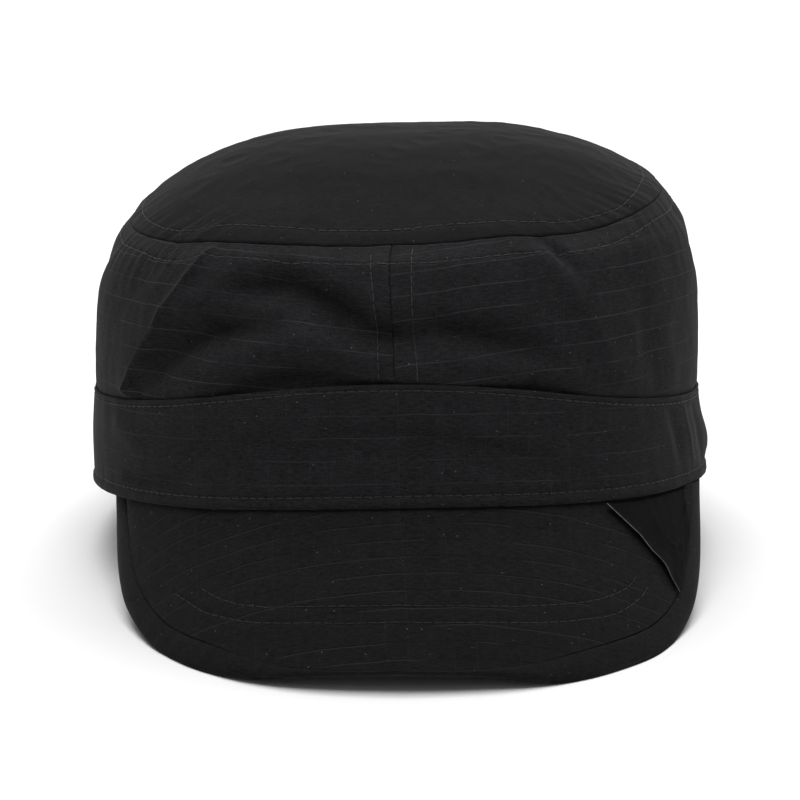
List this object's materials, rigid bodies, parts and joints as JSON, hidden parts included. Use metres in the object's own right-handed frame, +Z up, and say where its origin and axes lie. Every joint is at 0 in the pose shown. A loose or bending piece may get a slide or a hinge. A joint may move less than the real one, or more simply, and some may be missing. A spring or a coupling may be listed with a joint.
{
  "type": "patrol cap",
  "caption": "Soft flat-fronted cloth cap with a domed top panel, wide band, short arched visor with a rolled edge strip and a plain corner patch.",
  "frame": {"origin": "centre of the base: midway across and along the whole cap, on the surface that it rests on", "axes": "+X to the right in the front view, +Y from the visor to the back of the cap, +Z up"},
  "size_m": [0.1834, 0.2448, 0.1266],
  "materials": {
    "top_cloth": "matte black ripstop weave",
    "wall_cloth": "matte black ripstop weave",
    "band_cloth": "matte black ripstop weave",
    "visor_cloth": "matte black ripstop weave, stitched in rows",
    "edge_strip": "matte black ripstop weave, rolled",
    "patch": "smooth black satin weave"
  },
  "bodies": {
    "root": {"crown_top": "top_cloth", "side_panel_left": "wall_cloth", "side_panel_right": "wall_cloth", "band": "band_cloth", "visor": "visor_cloth", "visor_binding": "edge_strip", "corner_label": "patch"}
  },
  "joints": []
}
